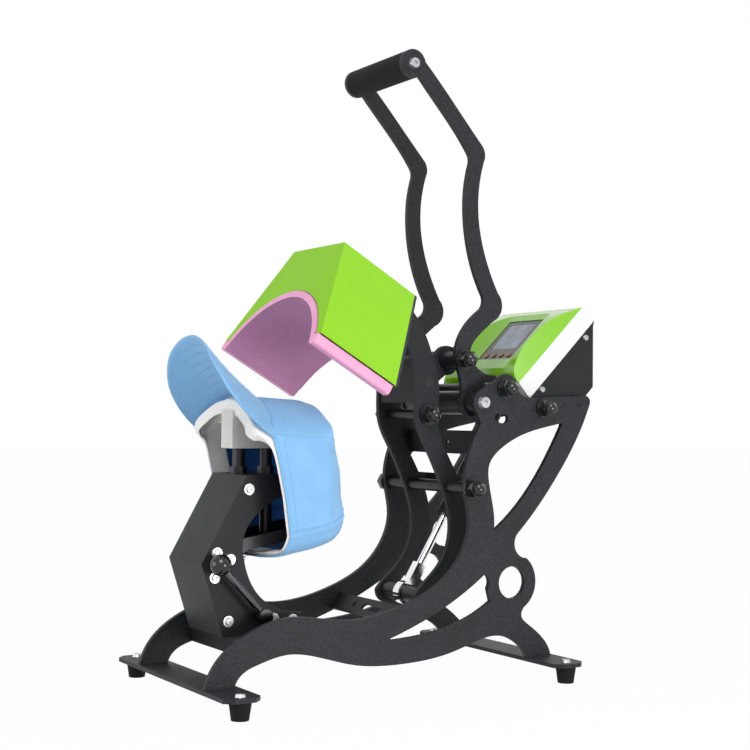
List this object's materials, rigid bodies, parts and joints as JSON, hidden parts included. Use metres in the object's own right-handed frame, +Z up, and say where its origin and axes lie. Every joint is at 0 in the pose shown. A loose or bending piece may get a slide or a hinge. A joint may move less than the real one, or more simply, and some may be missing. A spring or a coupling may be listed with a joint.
{
  "type": "cap heat press",
  "caption": "Clamshell cap heat press, open, with toggle handle, gas spring, sloping control box and a cap on its lower platen.",
  "frame": {"origin": "on the floor under the middle of the whole press", "axes": "+Z up, -Y towards the operator, +X to the right of the operator, who looks along +Y"},
  "size_m": [0.254, 0.4536, 0.624],
  "materials": {
    "frame_black": "sand-textured powder coat",
    "cover_green": "satin paint",
    "band_white": "satin paint",
    "sheet_black": "fine powder coat",
    "nut_black": "glossy",
    "zinc": "zinc plated",
    "steel_dark": "black oxide",
    "chrome": "polished",
    "grip_black": "matt",
    "rubber_black": "matt",
    "casting": "as cast",
    "foil": "plain foil",
    "wool": "felted",
    "silicone_pink": "satin",
    "felt_white": "felted",
    "cap_blue": "cotton twill",
    "band_cloth": "woven tape",
    "bezel_grey": "fine",
    "lcd": "clear lacquer",
    "button_silver": "satin",
    "board_green": "lacquered",
    "plastic_black": "fine"
  },
  "bodies": {
    "base": {"side_frame_left": "frame_black", "side_frame_right": "frame_black", "front_foot_bar": "frame_black", "rear_foot_bar": "frame_black", "rubber_feet": "rubber_black", "foot_bolts": "zinc", "front_deck": "frame_black", "cross_plates": "frame_black", "frame_rods": "steel_dark", "frame_cap_nuts": "nut_black", "handle_pivot_shaft": "steel_dark", "pedestal_front": "frame_black", "pedestal_side_left": "frame_black", "pedestal_side_right": "frame_black", "pedestal_screws": "zinc", "platen_posts": "steel_dark", "lower_platen": "casting", "lower_felt_pad": "felt_white", "retractor_pins": "zinc", "return_spring": "zinc", "cap_crown": "cap_blue", "cap_brim": "cap_blue", "cap_sweatband": "band_cloth", "box_base": "sheet_black", "box_band": "band_white", "box_cover": "cover_green", "display_panel": "bezel_grey", "display_window": "lcd", "circuit_board": "board_green", "power_inlet": "plastic_black", "box_screws": "zinc"},
    "arms": {"platen_arm_left": "frame_black", "platen_arm_right": "frame_black", "arm_rods": "steel_dark", "arm_cap_nuts": "nut_black", "arm_web": "frame_black", "platen_cover": "cover_green", "platen_carrier": "sheet_black", "heat_platen": "casting", "heater_foil": "foil", "insulation": "wool", "silicone_pad": "silicone_pink"},
    "handle": {"handle_arm_left": "frame_black", "handle_arm_right": "frame_black", "handle_grip": "grip_black", "grip_bolts": "zinc", "handle_sleeve": "steel_dark", "handle_cross_pin": "steel_dark", "cross_pin_nuts": "nut_black"},
    "link": {"toggle_link": "frame_black"},
    "gas_tube": {"gas_cylinder": "steel_dark"},
    "gas_piston": {"gas_piston_rod": "chrome"},
    "cap_retractor": {"retractor": "steel_dark"},
    "lever": {"clamp_lever": "zinc", "ball_knob": "nut_black"},
    "rocker": {"power_rocker": "plastic_black"},
    "button_1": {"push_button_1": "button_silver"},
    "button_2": {"push_button_2": "button_silver"},
    "button_3": {"push_button_3": "button_silver"},
    "button_4": {"push_button_4": "button_silver"}
  },
  "joints": [
    {"name": "arm_swing", "type": "hinge", "parent": "base", "child": "arms", "pos_m": [0, 0.06225, 0.1915], "axis": [1, 0, 0], "range_deg": [0, 26], "stiffness_Nm_per_rad": 16, "springref_deg": -57.3},
    {"name": "handle_swing", "type": "hinge", "parent": "base", "child": "handle", "pos_m": [0, 0.07525, 0.2765], "axis": [1, 0, 0], "range_deg": [0, 64.5]},
    {"name": "link_swing", "type": "hinge", "parent": "arms", "child": "link", "pos_m": [0, 0.03625, 0.297], "axis": [1, 0, 0], "range_deg": [-47, 0]},
    {"name": "gas_tilt", "type": "hinge", "parent": "base", "child": "gas_tube", "pos_m": [0, 0.15125, 0.2717], "axis": [1, 0, 0], "range_deg": [0, 13.2]},
    {"name": "gas_stroke", "type": "slide", "parent": "gas_tube", "child": "gas_piston", "axis": [0, 0.526, 0.8505], "range_m": [0, 0.0215]},
    {"name": "lever_swing", "type": "hinge", "parent": "base", "child": "lever", "pos_m": [0, -0.15325, 0.077], "axis": [1, 0, 0], "range_deg": [0, 50], "stiffness_Nm_per_rad": 0.4, "springref_deg": -68.75},
    {"name": "retractor_swing", "type": "hinge", "parent": "base", "child": "cap_retractor", "pos_m": [0, -0.18235, 0.1293], "axis": [1, 0, 0], "range_deg": [0, 8.6], "deforming": ["return_spring"]},
    {"name": "rocker_tilt", "type": "hinge", "parent": "base", "child": "rocker", "pos_m": [0.005, 0.22175, 0.3157], "axis": [1, 0, 0], "range_deg": [0, 12]},
    {"name": "button_1_press", "type": "slide", "parent": "base", "child": "button_1", "axis": [0, 0.6997, -0.7145], "range_m": [0, 0.001], "stiffness_N_per_m": 400, "springref_m": -0.0005},
    {"name": "button_2_press", "type": "slide", "parent": "base", "child": "button_2", "axis": [0, 0.6997, -0.7145], "range_m": [0, 0.001], "stiffness_N_per_m": 400, "springref_m": -0.0005},
    {"name": "button_3_press", "type": "slide", "parent": "base", "child": "button_3", "axis": [0, 0.6997, -0.7145], "range_m": [0, 0.001], "stiffness_N_per_m": 400, "springref_m": -0.0005},
    {"name": "button_4_press", "type": "slide", "parent": "base", "child": "button_4", "axis": [0, 0.6997, -0.7145], "range_m": [0, 0.001], "stiffness_N_per_m": 400, "springref_m": -0.0005}
  ],
  "couplings": [
    {"joint": "handle_swing", "follows": "arm_swing", "ratio": 2.46},
    {"joint": "link_swing", "follows": "arm_swing", "ratio": -1.79},
    {"joint": "gas_tilt", "follows": "arm_swing", "ratio": 0.482},
    {"joint": "gas_stroke", "follows": "arm_swing", "m_per_rad": 0.044},
    {"joint": "retractor_swing", "follows": "lever_swing", "ratio": 0.17}
  ]
}
